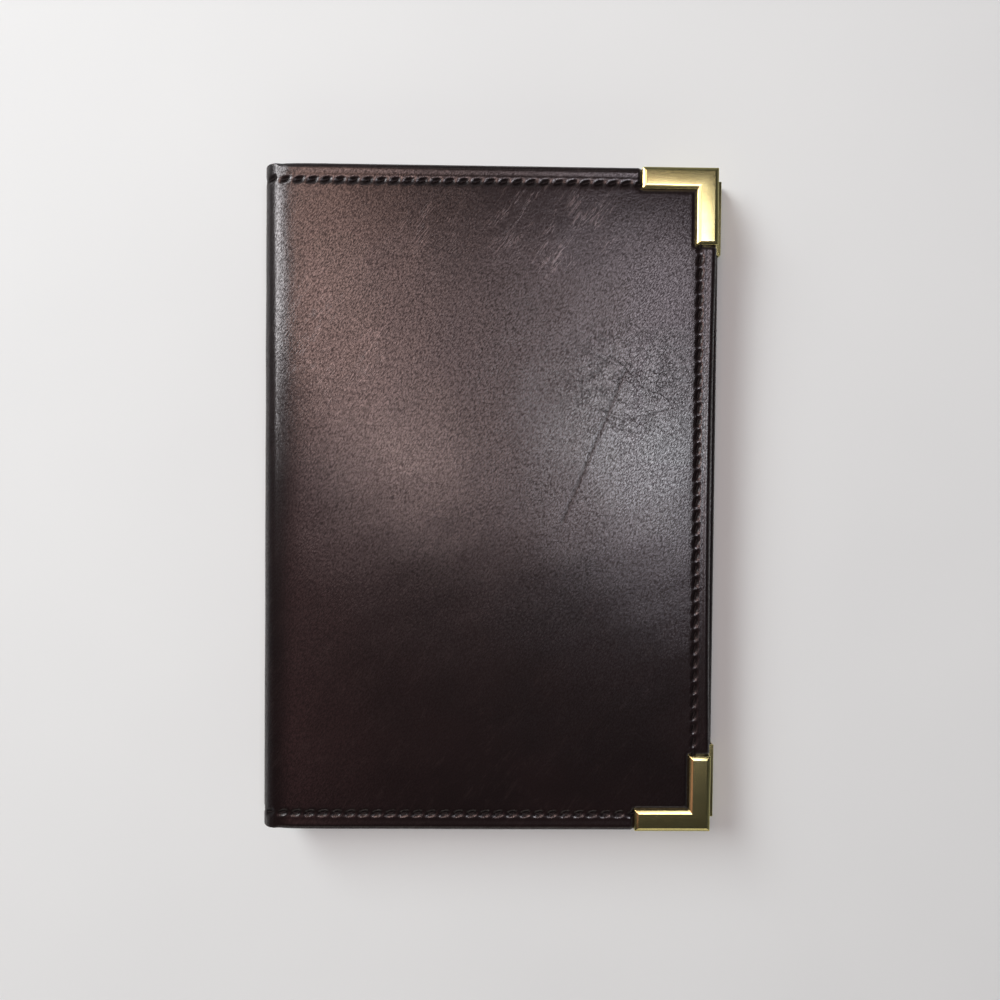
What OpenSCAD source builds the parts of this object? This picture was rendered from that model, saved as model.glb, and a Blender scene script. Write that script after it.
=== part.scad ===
// Padfolio: a leather folder that holds a writing pad, with brass corners.
// It lies closed on its back cover: the front cover faces +Z, the top edge +Y and the spine -X.
// All sizes are in millimetres.

/* [Pad] */
// Width of the writing pad
pad_w = 127; // [100:1:160]
// Height of the writing pad
pad_h = 203.2; // [160:0.1:240]
// Thickness of the block of sheets
sheets_t = 4.6; // [2:0.1:10]
// Thickness of the pad's backing card
card_t = 0.7; // [0.4:0.1:1.5]
// Thickness of the binding tape
tape_t = 0.2; // [0.1:0.05:0.5]
// How far the binding tape reaches down each face of the pad
tape_w = 16; // [8:1:30]

/* [Covers] */
// Thickness of the outer leather
leather_t = 0.9; // [0.8:0.1:1.4]
// Thickness of the foam sheet under the leather
foam_t = 1; // [0.9:0.1:1.8]
// Thickness of the stiff board in each cover
board_t = 1.6; // [1.2:0.1:2.5]
// Thickness of the lining inside each cover
lining_t = 0.9; // [0.8:0.1:1.4]
// Thickness of the thinned leather that is turned in round the edges
turn_t = 0.4; // [0.3:0.05:0.6]
// How far the turned-in leather reaches in from the edges
turn_w = 10; // [6:0.5:11]
// Width of turned-in leather left bare round the lining
lining_inset = 2.5; // [1.5:0.5:4]
// Room above and below the pad's pocket, besides the corners
end_room = 3.65; // [1:0.05:10]
// Width over which the leather rises from the border to the padded panel
foam_rise = 3; // [1.5:0.5:6]
// Width of flat leather beside the spine fold
fold_border = 2; // [1:0.5:5]
// Width over which the leather rises from there to the padded panel
spine_rise = 20; // [3:0.5:30]

/* [Spine] */
// Outer radius of the leather at each fold
fold_r = 5.6; // [4:0.1:6.5]
// How far the closed front cover sits back towards the spine
cover_setback = 4.6; // [0:0.1:6]
// Thickness of the lining inside the spine
spine_lining_t = 0.6; // [0.4:0.1:1]

/* [Stitching] */
// Distance from stitch to stitch along the border
stitch_pitch = 4.7; // [3.5:0.1:8]
// Length of thread that shows in one stitch
stitch_len = 3; // [1.5:0.1:3.3]
// Thickness of the border's thread
thread_d = 0.55; // [0.3:0.05:0.6]
// Distance of the border's stitches from the edges
stitch_inset = 5.9; // [3:0.1:6.5]
// Length of thread that shows in one stitch round the spine
spine_stitch_len = 2; // [1.2:0.1:2.4]
// Thickness of the pockets' thread
fine_thread_d = 0.35; // [0.2:0.05:0.4]
// Length of thread that shows in one stitch of a pocket
fine_stitch_len = 2.5; // [1.5:0.1:3]

/* [Brass corners] */
// Length of each arm of a corner
corner_arm = 27; // [15:0.5:40]
// Width of each arm of a corner
corner_w = 7.6; // [6:0.1:10]
// Thickness of the brass over the edges and inside
corner_t = 0.5; // [0.3:0.05:0.8]
// Height of a corner's raised outer face
corner_face_t = 0.85; // [0.5:0.05:0.9]
// Width of the bevels round the outer face
corner_bevel = 1.3; // [0.5:0.1:2]

/* [Pen loop] */
// Radius of the pen that the loop takes, with its slack
pen_bore_r = 3.9; // [3:0.1:6]
// Thickness of the loop's leather
loop_wall = 0.7; // [0.5:0.1:1.2]
// Width of the loop along the pen
loop_len = 22; // [12:1:40]
// Height of the loop's middle above the middle of the cover
loop_y = 30; // [20:1:60]

/* [Pockets] */
// Thickness of the leather of the slip and document pockets
pocket_t = 0.6; // [0.5:0.05:1]
// Width of the sewn hem round each pocket
hem_w = 2.5; // [2:0.1:3.5]
// Height of the slip pocket that holds the pad's card
slip_h = 85; // [50:1:95]
// Height of the document pocket
doc_h = 150; // [125:1:190]
// Depth of the space in the document pocket
doc_space = 0.5; // [0.3:0.1:2]
// Width of a card in the card pockets
name_card_w = 90; // [80:0.5:95]
// Height of each card pocket
card_pocket_h = 42; // [30:1:50]
// Distance between the two card pockets
card_pocket_gap = 10; // [5:1:15]
// Height of the lower card pocket above the document pocket's foot
card_pocket_lift = 7.5; // [4:0.5:15]
// Thickness of the leather of the card pockets
card_pocket_t = 0.5; // [0.5:0.05:1]
// Depth of the space in the card pockets
card_space = 0.3; // [0.2:0.1:1.5]

/* [Hidden] */
$fn = 64;

// Clearances
corner_gap = 1.6; // between a pocket's hem and a corner's inner plate
pocket_gap = 0.8; // beside the pad in its pocket
slide_gap = 0.15; // above and below the card and under the pad
close_gap = 0.45; // between the closed front cover's pockets and the pad
gutter_gap = 2.9; // on each side of the pen loop
loop_gap = 0.4; // between the pen loop and the closed front cover
foam_gap = 1.9; // between a corner and the rise of the padded panel
tab_gap = 1; // between the pen loop's tab and the pad
groove_gap = 0.3; // on each side of a thread in the border
fine_groove_gap = 0.2; // on each side of a thread in a pocket
thread_gap = 0.02; // under and over a sunk thread
over = 1; // how far a cut reaches past the face that it opens

// Heights in one cover, from its padded outer face inwards
board_z = leather_t + foam_t;
lining_z = board_z + board_t;
turn_z = lining_z + turn_t;
cover_t = lining_z + lining_t;
edge_r = (turn_z - foam_t) / 2;

// Heights inside the folder, from the back cover's lining
tape_z = corner_t + slide_gap;
card_z = tape_z + tape_t;
slip_z = card_z + card_t + slide_gap;
sheets_z = slip_z + pocket_t + slide_gap;
pad_top_z = sheets_z + sheets_t;
pockets_t = card_pocket_t + card_space + pocket_t + doc_space;
stack_t = pad_top_z + tape_t + close_gap + pockets_t;
loop_r = pen_bore_r + loop_wall;
inside_gap = max(stack_t, 2 * loop_r + loop_gap);
total_t = 2 * cover_t + inside_gap;

// One cover's outline: x from the spine fold, y from the middle
gutter_w = 2 * (loop_r + gutter_gap);
corner_in = corner_w - corner_t;
edge_room = pocket_gap + hem_w + corner_gap + corner_in;
cover_w = gutter_w + pad_w + edge_room;
cover_h = pad_h + 2 * (edge_room + end_room);
foam_inset = corner_in + foam_gap;
foam_x = fold_border + spine_rise;

// Place of the folds
fold_x = cover_setback + fold_r - (cover_setback + fold_r + cover_w + corner_t) / 2;
fold_z = foam_t + fold_r;
fold_rise = total_t - 2 * fold_z;
spine_len = norm([cover_setback, fold_rise]);
spine_turn = atan2(cover_setback, fold_rise);

// Seams
groove_d = thread_d + 2 * thread_gap;
groove_w = thread_d + 2 * groove_gap;
fine_groove_d = fine_thread_d + 2 * thread_gap;
fine_groove_w = fine_thread_d + 2 * fine_groove_gap;
seam_y = cover_h / 2 - stitch_inset;
seam_x = cover_w - stitch_inset;

// Pockets, in the cover's own coordinates
slip_x = gutter_w - pocket_gap - hem_w;
slip_w = pad_w + 2 * (pocket_gap + hem_w);
pocket_y = corner_in + corner_gap - cover_h / 2;
doc_x = gutter_w + cover_setback + gutter_gap;
doc_w = cover_w - corner_in - corner_gap - doc_x;
card_pocket_w = name_card_w + 2 * hem_w;
card_pocket_x = doc_x + (doc_w - card_pocket_w) / 2;
lower_card_y = pocket_y + card_pocket_lift;
upper_card_y = lower_card_y + card_pocket_h + card_pocket_gap;

// Colours
leather_colour = "#4a3030";
lining_colour = "#2b2524";
thread_colour = "#3a2626";
brass_colour = "#c9a85c";
paper_colour = "#f2efe4";
card_colour = "#b79a72";
board_colour = "#8d8377";
foam_colour = "#d8d2c4";

// A box from one corner to the opposite one
module block(low, high) {
    translate(low)
        cube(high - low);
}

// Cover coordinates to the back cover's place
module on_back() {
    translate([fold_x, 0, 0])
        children();
}

// Cover coordinates to the front cover's place, turned over above the back
module on_front() {
    translate([fold_x - cover_setback, 0, total_t])
        mirror([0, 0, 1])
            children();
}

// Section of a cover across its height, with both edges rounded
module height_section() {
    rise = cover_h / 2 - foam_inset;
    edge = cover_h / 2 - edge_r;
    polygon([
        [foam_rise - rise, 0], [rise - foam_rise, 0], [rise, foam_t], [edge, foam_t],
        [edge, turn_z], [-edge, turn_z], [-edge, foam_t], [-rise, foam_t]
    ]);
    for (side = [-1, 1])
        translate([side * edge, foam_t + edge_r])
            circle(r = edge_r);
}

// Section of a cover across its width, square at the fold and rounded at the free edge
module width_section() {
    rise = cover_w - foam_inset;
    edge = cover_w - edge_r;
    polygon([
        [0, foam_t], [fold_border, foam_t], [foam_x, 0], [rise - foam_rise, 0],
        [rise, foam_t], [edge, foam_t], [edge, turn_z], [0, turn_z]
    ]);
    translate([edge, foam_t + edge_r])
        circle(r = edge_r);
}

// The whole outside of a cover, before it is hollowed
module cover_shape() {
    intersection() {
        rotate([90, 0, 90])
            linear_extrude(height = cover_w)
                height_section();
        translate([0, cover_h / 2, 0])
            rotate([90, 0, 0])
                linear_extrude(height = cover_h)
                    width_section();
    }
}

// Sheet of foam under the padded panel
module foam_sheet() {
    rise = foam_inset + foam_rise;
    block(
        [foam_x, rise - cover_h / 2, leather_t],
        [cover_w - rise, cover_h / 2 - rise, board_z]
    );
}

// Stiff board that fills the leather
module board_sheet() {
    block(
        [lining_t, leather_t - cover_h / 2, board_z],
        [cover_w - leather_t, cover_h / 2 - leather_t, lining_z]
    );
}

// Room for the lining inside the turned-in leather and down the board's spine edge
module lining_core(low_x, top) {
    inner_y = cover_h / 2 - turn_w;
    block([low_x, -inner_y, lining_z], [cover_w - turn_w, inner_y, top]);
    block([low_x, -inner_y, board_z], [lining_t, inner_y, top]);
}

// Grooves that the border's stitches are pulled into
module border_grooves() {
    half = groove_w / 2;
    low = foam_t - over;
    floor_z = foam_t + groove_d;
    for (side = [-1, 1])
        block(
            [-over, side * seam_y - half, low],
            [seam_x + half, side * seam_y + half, floor_z]
        );
    block([seam_x - half, -seam_y, low], [seam_x + half, seam_y, floor_z]);
}

// Leather of one cover, turned in round three edges
module cover_leather() {
    difference() {
        cover_shape();
        foam_sheet();
        board_sheet();
        lining_core(-over, turn_z + over);
        border_grooves();
    }
}

// Lining of one cover, sunk between the turned-in leather and lapped over it
module cover_lining() {
    lap_y = cover_h / 2 - lining_inset;
    lining_core(0, cover_t);
    block([0, -lap_y, turn_z], [cover_w - lining_inset, lap_y, cover_t]);
}

// A row of sunk stitches from one point to another at one height
module stitch_row(from, to, z, pitch, len, d) {
    way = to - from;
    count = max(1, floor(norm(way) / pitch));
    step = norm(way) / count;
    translate([from.x, from.y, z])
        rotate([0, 0, atan2(way.y, way.x)])
            for (i = [0 : count - 1])
                translate([(i + 0.5) * step - len / 2, 0, 0])
                    rotate([0, 90, 0])
                        cylinder(d = d, h = len);
}

// Stitches round the three sewn edges of one cover
module cover_stitches() {
    z = foam_t + groove_d - thread_gap - thread_d / 2;
    for (side = [-1, 1])
        stitch_row([0, side * seam_y], [seam_x, side * seam_y], z, stitch_pitch, stitch_len, thread_d);
    stitch_row([seam_x, -seam_y], [seam_x, seam_y], z, stitch_pitch, stitch_len, thread_d);
}

// Section of a brass arm's outer face, bevelled on both sides
module arm_section(size) {
    lip = corner_face_t / 3;
    polygon([
        [0, 0], [size, 0], [size, lip], [size - corner_bevel, corner_face_t],
        [corner_bevel, corner_face_t], [0, lip]
    ]);
}

// One arm's outer face, bevelled all round
module arm_face(len, wide) {
    intersection() {
        translate([0, wide, 0])
            rotate([90, 0, 0])
                linear_extrude(height = wide)
                    arm_section(len);
        rotate([90, 0, 90])
            linear_extrude(height = len)
                arm_section(wide);
    }
}

// Brass corner folded over the free top corner of a cover
module corner_piece() {
    out_x = cover_w + corner_t;
    out_y = cover_h / 2 + corner_t;
    near_x = out_x - corner_arm;
    near_y = out_y - corner_arm;
    arm_x = out_x - corner_w;
    arm_y = out_y - corner_w;
    inner_z = cover_t + corner_t;
    translate([0, 0, foam_t])
        mirror([0, 0, 1]) {
            translate([near_x, arm_y, 0])
                arm_face(corner_arm, corner_w);
            translate([arm_x, near_y, 0])
                arm_face(corner_w, corner_arm);
        }
    block([near_x, cover_h / 2, foam_t], [out_x, out_y, inner_z]);
    block([cover_w, near_y, foam_t], [out_x, out_y, inner_z]);
    block([near_x, arm_y, cover_t], [out_x, out_y, inner_z]);
    block([arm_x, near_y, cover_t], [out_x, out_y, inner_z]);
}

// The same corner for the free bottom corner of a cover
module lower_corner_piece() {
    mirror([0, 1, 0])
        corner_piece();
}

// Middle lines of a pocket's hem: left, bottom and right, from the top round to the top
function hem_path(x, y, w, h) = [
    [x + hem_w / 2, y + h], [x + hem_w / 2, y + hem_w / 2],
    [x + w - hem_w / 2, y + hem_w / 2], [x + w - hem_w / 2, y + h]
];

// A pocket sewn down at its sides and bottom, open at the top, with sunk seams
module pocket(x, y, w, h, low, space, t) {
    top = low + space + t;
    half = fine_groove_w / 2;
    path = hem_path(x, y, w, h);
    difference() {
        block([x, y, low], [x + w, y + h, top]);
        block([x + hem_w, y + hem_w, low - over], [x + w - hem_w, y + h + over, low + space]);
        for (side = [0, 3])
            block(
                [path[side].x - half, path[1].y - half, top - fine_groove_d],
                [path[side].x + half, y + h + over, top + over]
            );
        block(
            [path[1].x, path[1].y - half, top - fine_groove_d],
            [path[2].x, path[1].y + half, top + over]
        );
    }
}

// Stitches along a pocket's hem, in a face at one height
module pocket_seam(x, y, w, h, top) {
    path = hem_path(x, y, w, h);
    z = top - fine_groove_d + thread_gap + fine_thread_d / 2;
    for (i = [0 : 2])
        stitch_row(path[i], path[i + 1], z, stitch_pitch, fine_stitch_len, fine_thread_d);
}

// Places of the four pockets, each [x, y, width, height, height of its foot, space, thickness]
slip_place = [slip_x, pocket_y, slip_w, slip_h, cover_t, slip_z, pocket_t];
doc_place = [doc_x, pocket_y, doc_w, doc_h, cover_t, doc_space, pocket_t];
card_foot = cover_t + doc_space + pocket_t;
lower_place = [
    card_pocket_x, lower_card_y, card_pocket_w, card_pocket_h, card_foot, card_space, card_pocket_t
];
upper_place = [
    card_pocket_x, upper_card_y, card_pocket_w, card_pocket_h, card_foot, card_space, card_pocket_t
];

module placed_pocket(p) {
    pocket(p[0], p[1], p[2], p[3], p[4], p[5], p[6]);
}

module placed_seam(p) {
    pocket_seam(p[0], p[1], p[2], p[3], p[4] + p[5] + p[6]);
}

// Section of the spine's outside at one radius: two folds and the slant between them
module spine_outline(r) {
    translate([fold_x, fold_z]) {
        circle(r = r);
        rotate(spine_turn)
            translate([-r, 0])
                square([r, spine_len]);
    }
    translate([fold_x - cover_setback, total_t - fold_z])
        circle(r = r);
}

// What lies on the covers' side of the spine
module spine_cover_side() {
    front_x = fold_x - cover_setback;
    polygon([
        [fold_x, -over], [fold_x, fold_z], [front_x, total_t - fold_z], [front_x, total_t + over],
        [fold_x + 2 * fold_r, total_t + over], [fold_x + 2 * fold_r, -over]
    ]);
}

// One layer of the spine between two radii
module spine_layer(outer_r, inner_r, len) {
    translate([0, len / 2, 0])
        rotate([90, 0, 0])
            linear_extrude(height = len)
                difference() {
                    spine_outline(outer_r);
                    spine_outline(inner_r);
                    spine_cover_side();
                }
}

// One sunk stitch lying on the spine, at an angle round a fold
module fold_stitch(centre, angle, r) {
    translate([centre.x, 0, centre.y])
        rotate([0, -angle, 0])
            translate([r, 0, -spine_stitch_len / 2])
                cylinder(d = thread_d, h = spine_stitch_len);
}

// Stitches round one fold, from one angle to another
module fold_stitches(centre, from, to) {
    r = fold_r - groove_d + thread_gap + thread_d / 2;
    arc_len = (to - from) * PI / 180 * r;
    count = max(1, floor(arc_len / stitch_pitch));
    step = (to - from) / count;
    for (i = [0 : count - 1])
        fold_stitch(centre, from + (i + 0.5) * step, r);
}

// Stitches of one end of the spine
module spine_stitch_ring() {
    back_centre = [fold_x, fold_z];
    front_centre = [fold_x - cover_setback, total_t - fold_z];
    slant = 180 + spine_turn;
    fold_stitches(back_centre, slant, 270);
    fold_stitches(front_centre, 90, slant);
    fold_stitches((back_centre + front_centre) / 2, slant, slant);
}

// Back cover

module back_leather() {
    color(leather_colour)
        on_back()
            cover_leather();
}

module back_foam() {
    color(foam_colour)
        on_back()
            foam_sheet();
}

module back_board() {
    color(board_colour)
        on_back()
            board_sheet();
}

module back_lining() {
    color(lining_colour)
        on_back()
            cover_lining();
}

module back_stitches() {
    color(thread_colour)
        on_back()
            cover_stitches();
}

module corner_back_top() {
    color(brass_colour)
        on_back()
            corner_piece();
}

module corner_back_bottom() {
    color(brass_colour)
        on_back()
            lower_corner_piece();
}

module pad_slip_pocket() {
    color(lining_colour)
        on_back()
            placed_pocket(slip_place);
}

module slip_stitches() {
    color(thread_colour)
        on_back()
            placed_seam(slip_place);
}

// Loop of leather for a pen, standing on a tab that is sewn to the lining
module pen_loop() {
    tab_w = gutter_w / 2 - tab_gap;
    color(lining_colour)
        on_back()
            translate([gutter_w / 2, loop_y + loop_len / 2, cover_t + loop_r])
                rotate([90, 0, 0])
                    difference() {
                        union() {
                            cylinder(r = loop_r, h = loop_len);
                            block([0, -loop_r, 0], [tab_w, loop_wall - loop_r, loop_len]);
                        }
                        translate([0, 0, -over])
                            cylinder(r = pen_bore_r, h = loop_len + 2 * over);
                    }
}

// Spine

module spine_leather() {
    groove_r = fold_r - groove_d;
    color(leather_colour)
        difference() {
            spine_layer(fold_r, fold_r - leather_t, cover_h);
            for (side = [-1, 1])
                translate([0, side * seam_y, 0])
                    spine_layer(fold_r + over, groove_r, groove_w);
        }
}

module spine_lining() {
    outer_r = fold_r - leather_t;
    color(lining_colour)
        spine_layer(outer_r, outer_r - spine_lining_t, cover_h - 2 * lining_inset);
}

module spine_stitches() {
    color(thread_colour)
        for (side = [-1, 1])
            translate([0, side * seam_y, 0])
                spine_stitch_ring();
}

// Front cover

module front_leather() {
    color(leather_colour)
        on_front()
            cover_leather();
}

module front_foam() {
    color(foam_colour)
        on_front()
            foam_sheet();
}

module front_board() {
    color(board_colour)
        on_front()
            board_sheet();
}

module front_lining() {
    color(lining_colour)
        on_front()
            cover_lining();
}

module front_stitches() {
    color(thread_colour)
        on_front()
            cover_stitches();
}

module corner_front_top() {
    color(brass_colour)
        on_front()
            corner_piece();
}

module corner_front_bottom() {
    color(brass_colour)
        on_front()
            lower_corner_piece();
}

module document_pocket() {
    color(lining_colour)
        on_front()
            placed_pocket(doc_place);
}

module card_pocket_upper() {
    color(lining_colour)
        on_front()
            placed_pocket(upper_place);
}

module card_pocket_lower() {
    color(lining_colour)
        on_front()
            placed_pocket(lower_place);
}

module pocket_stitches() {
    color(thread_colour)
        on_front() {
            placed_seam(doc_place);
            placed_seam(lower_place);
            placed_seam(upper_place);
        }
}

// Writing pad

// Pad coordinates to its place on the back cover: x from its side, y from its middle
module on_pad() {
    translate([fold_x + gutter_w, 0, cover_t])
        children();
}

module pad_card() {
    color(card_colour)
        on_pad()
            block([0, -pad_h / 2, card_z], [pad_w, pad_h / 2, card_z + card_t]);
}

// Block of sheets, thickened at the head where it is glued down to the card
module pad_sheets() {
    color(paper_colour)
        on_pad() {
            block([0, -pad_h / 2, sheets_z], [pad_w, pad_h / 2, pad_top_z]);
            block([0, pad_h / 2 - tape_w, card_z + card_t], [pad_w, pad_h / 2, pad_top_z]);
        }
}

module pad_tape() {
    head = pad_h / 2;
    color(leather_colour)
        on_pad() {
            block([0, head - tape_w, tape_z], [pad_w, head + tape_t, card_z]);
            block([0, head, tape_z], [pad_w, head + tape_t, pad_top_z + tape_t]);
            block([0, head - tape_w, pad_top_z], [pad_w, head + tape_t, pad_top_z + tape_t]);
        }
}

back_leather();
back_foam();
back_board();
back_lining();
back_stitches();
corner_back_top();
corner_back_bottom();
pad_slip_pocket();
slip_stitches();
pen_loop();
spine_leather();
spine_lining();
spine_stitches();
front_leather();
front_foam();
front_board();
front_lining();
front_stitches();
corner_front_top();
corner_front_bottom();
document_pocket();
card_pocket_upper();
card_pocket_lower();
pocket_stitches();
pad_card();
pad_sheets();
pad_tape();
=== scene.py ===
import math

import bpy
import numpy as np
from mathutils import Matrix, Vector


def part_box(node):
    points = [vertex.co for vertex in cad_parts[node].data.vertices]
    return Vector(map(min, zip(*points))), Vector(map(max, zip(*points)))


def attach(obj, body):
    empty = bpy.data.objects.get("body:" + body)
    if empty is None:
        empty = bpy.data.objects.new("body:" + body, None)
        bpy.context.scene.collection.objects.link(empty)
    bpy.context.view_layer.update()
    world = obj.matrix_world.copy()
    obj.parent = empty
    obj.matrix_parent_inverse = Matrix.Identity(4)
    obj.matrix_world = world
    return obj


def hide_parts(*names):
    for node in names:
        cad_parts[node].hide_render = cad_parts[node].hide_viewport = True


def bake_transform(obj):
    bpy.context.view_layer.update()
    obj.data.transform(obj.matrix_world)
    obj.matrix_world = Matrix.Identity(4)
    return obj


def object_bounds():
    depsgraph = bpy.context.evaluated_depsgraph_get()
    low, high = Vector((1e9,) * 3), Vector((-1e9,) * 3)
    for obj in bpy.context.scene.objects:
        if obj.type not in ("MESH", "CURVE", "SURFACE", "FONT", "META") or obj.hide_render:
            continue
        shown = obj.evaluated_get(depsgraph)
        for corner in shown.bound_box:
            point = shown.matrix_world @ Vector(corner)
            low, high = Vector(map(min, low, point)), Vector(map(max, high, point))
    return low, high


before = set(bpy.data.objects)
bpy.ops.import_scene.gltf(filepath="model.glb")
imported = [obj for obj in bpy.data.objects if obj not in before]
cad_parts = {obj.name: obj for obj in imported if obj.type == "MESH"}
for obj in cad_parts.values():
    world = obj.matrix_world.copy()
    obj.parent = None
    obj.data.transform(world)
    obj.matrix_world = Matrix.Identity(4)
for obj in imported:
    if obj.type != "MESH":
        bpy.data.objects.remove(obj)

cad_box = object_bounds()
mm = 0.001

# Camera
# It hangs square above the closed folder, so that the front cover fills the picture upright.
# Its lens is a wide one held close, as the slight taper of the cover shows.
image_px = 1000
focal_px = 800
sensor_mm = 36
camera_place = (-0.0026, 0.0057, 0.3003)
camera_turn_deg = (-1.14, -0.85, 0.53)
camera_data = bpy.data.cameras.new("camera")
camera_data.sensor_width = sensor_mm
camera_data.lens = sensor_mm * focal_px / image_px
camera = bpy.data.objects.new("camera", camera_data)
camera.location = camera_place
camera.rotation_euler = [math.radians(turn) for turn in camera_turn_deg]
bpy.context.scene.collection.objects.link(camera)
bpy.context.scene.camera = camera
bpy.context.scene.view_settings.view_transform = "Standard"


# Floor, room and lamps
# A pale sheet lies under the folder. A tall window at the left gives most of the light, and smaller
# lamps hang over the cover, where the leather mirrors them as soft patches.
class Shade:
    """One output in a node tree. Sums on it add Math nodes, and node() adds any other node."""

    def __init__(self, tree, socket=None):
        self.tree = tree
        self.socket = socket

    def node(self, kind, settings=(), inputs=(), output=0):
        made = self.tree.nodes.new(kind)
        for name, value in dict(settings).items():
            setattr(made, name, value)
        for name, value in dict(inputs).items():
            if isinstance(value, Shade):
                self.tree.links.new(value.socket, made.inputs[name])
            else:
                made.inputs[name].default_value = value
        return Shade(self.tree, made.outputs[output] if made.outputs else None)

    def maths(self, operation, *values):
        return self.node("ShaderNodeMath", {"operation": operation}, dict(enumerate(values)))

    def __add__(self, other):
        return self.maths("ADD", self, other)

    def __sub__(self, other):
        return self.maths("SUBTRACT", self, other)

    def __mul__(self, other):
        return self.maths("MULTIPLY", self, other)

    def __truediv__(self, other):
        return self.maths("DIVIDE", self, other)

    def __rsub__(self, other):
        return self.maths("SUBTRACT", other, self)

    __radd__ = __add__
    __rmul__ = __mul__

    def rise(self, low, high):
        """0 below low, 1 above high, and smooth between."""
        span = {"Value": self, "From Min": low, "From Max": high}
        return self.node("ShaderNodeMapRange", {"interpolation_type": "SMOOTHSTEP"}, span)

    def mix(self, first, second):
        """A colour from first to second as this value goes from 0 to 1."""
        blend = {0: self, 6: first, 7: second}
        return self.node("ShaderNodeMix", {"data_type": "RGBA"}, blend, output=2)

    def noise(self, where, scale, detail=2.0, roughness=0.5):
        sizes = {"Vector": where, "Scale": scale, "Detail": detail, "Roughness": roughness}
        return self.node("ShaderNodeTexNoise", (), sizes)

    def drawn(self, where, turn_deg, along, across):
        """Coordinates of a pattern drawn out along one direction, both sizes in millimetres."""
        turn = (0, 0, math.radians(turn_deg))
        sizes = {"Vector": where, "Rotation": turn, "Scale": (along, across, 1)}
        return self.node("ShaderNodeMapping", {"vector_type": "TEXTURE"}, sizes)

    def placed(self, where, scale=(1, 1, 1), turn_deg=0, shift=(0, 0, 0)):
        turn = (0, 0, math.radians(turn_deg))
        moves = {"Vector": where, "Location": shift, "Rotation": turn, "Scale": scale}
        return self.node("ShaderNodeMapping", (), moves)


def new_material(name):
    """An empty material, and a Shade to start its nodes with."""
    material = bpy.data.materials.new(name)
    material.use_nodes = True
    material.node_tree.nodes.clear()
    return material, Shade(material.node_tree)


def surface(shade, **sockets):
    """Ends a material in one Principled surface. A socket's name has _ for each space."""
    named = {name.replace("_", " "): value for name, value in sockets.items()}
    shader = shade.node("ShaderNodeBsdfPrincipled", (), named)
    shade.node("ShaderNodeOutputMaterial", (), {"Surface": shader})


def in_mm(shade, coordinate="Object"):
    """The piece's own coordinates, in millimetres."""
    where = shade.node("ShaderNodeTexCoord", (), (), coordinate)
    scaled = {0: where, "Scale": 1 / mm}
    return shade.node("ShaderNodeVectorMath", {"operation": "SCALE"}, scaled)


def bump(shade, height_mm):
    """A normal from a height in millimetres."""
    return shade.node("ShaderNodeBump", (), {"Height": height_mm, "Distance": mm, "Strength": 1.0})


def axis_of(shade, where, axis):
    """One of a place's three coordinates."""
    return shade.node("ShaderNodeSeparateXYZ", (), {0: where}, axis)


floor_size = 6.0
floor_mottle = 0.01
floor_rough = 0.9
floor_drop = 0.1 * mm
floor_pale = (0.755, 0.84, 0.825, 1)
floor_grey = (0.71, 0.79, 0.78, 1)
bpy.ops.object.select_all(action="DESELECT")
bpy.ops.mesh.primitive_plane_add(size=floor_size, location=(0, 0, -floor_drop))
floor = bpy.context.object
floor.name = "floor"
floor_material, shade = new_material("floor_paper")
mottle = shade.noise(in_mm(shade), floor_mottle)
surface(shade, Base_Color=mottle.mix(floor_pale, floor_grey), Roughness=floor_rough)
floor.data.materials.append(floor_material)

horizon_grey = (0.38, 0.39, 0.41, 1)
zenith_grey = (0.02, 0.021, 0.023, 1)
horizon_high = 0.6
world = bpy.data.worlds.new("room")
world.use_nodes = True
world.node_tree.nodes.clear()
shade = Shade(world.node_tree)
direction = shade.node("ShaderNodeTexCoord", (), (), "Generated")
height = axis_of(shade, direction, "Z")
room_grey = height.rise(0.0, horizon_high).mix(horizon_grey, zenith_grey)
room = shade.node("ShaderNodeBackground", (), {"Color": room_grey})
shade.node("ShaderNodeOutputWorld", (), {"Surface": room})
bpy.context.scene.world = world


cover_face = cad_box[1].z
lamp_distance = 1.5


def leaning(lean_deg):
    """A place that leans from straight above the cover towards +X and +Y."""
    way = Vector((math.tan(math.radians(lean_deg[0])), math.tan(math.radians(lean_deg[1])), 1))
    return Vector((0, 0, cover_face)) + way.normalized() * lamp_distance


def seen_on_cover(pixel):
    """Where a pixel of the picture falls on the front cover, and the way it is looked at."""
    aim = Vector((pixel[0] - image_px / 2, image_px / 2 - pixel[1], -focal_px))
    aim = camera.rotation_euler.to_matrix() @ aim
    return camera.location + aim * ((cover_face - camera.location.z) / aim.z), aim.normalized()


def mirrored(pixel):
    """A place that a flat cover mirrors at a pixel of the picture."""
    spot, aim = seen_on_cover(pixel)
    return spot + Vector((aim.x, aim.y, -aim.z)) * lamp_distance


def softbox(name, place, size, colour, radiance):
    """A lamp that faces the cover, squared up with it, with an even glow over its size."""
    lamp_data = bpy.data.lights.new(name, "AREA")
    lamp_data.shape = "RECTANGLE"
    lamp_data.size = size[0]
    lamp_data.size_y = size[1]
    lamp_data.color = colour
    lamp_data.energy = radiance * math.pi * size[0] * size[1]
    lamp = bpy.data.objects.new(name, lamp_data)
    lamp.location = place
    out = (place - Vector((0, 0, cover_face))).normalized()
    across = (Vector((1, 0, 0)) - out * out.x).normalized()
    lamp.rotation_euler = Matrix((across, out.cross(across), out)).transposed().to_euler()
    bpy.context.scene.collection.objects.link(lamp)


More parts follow.
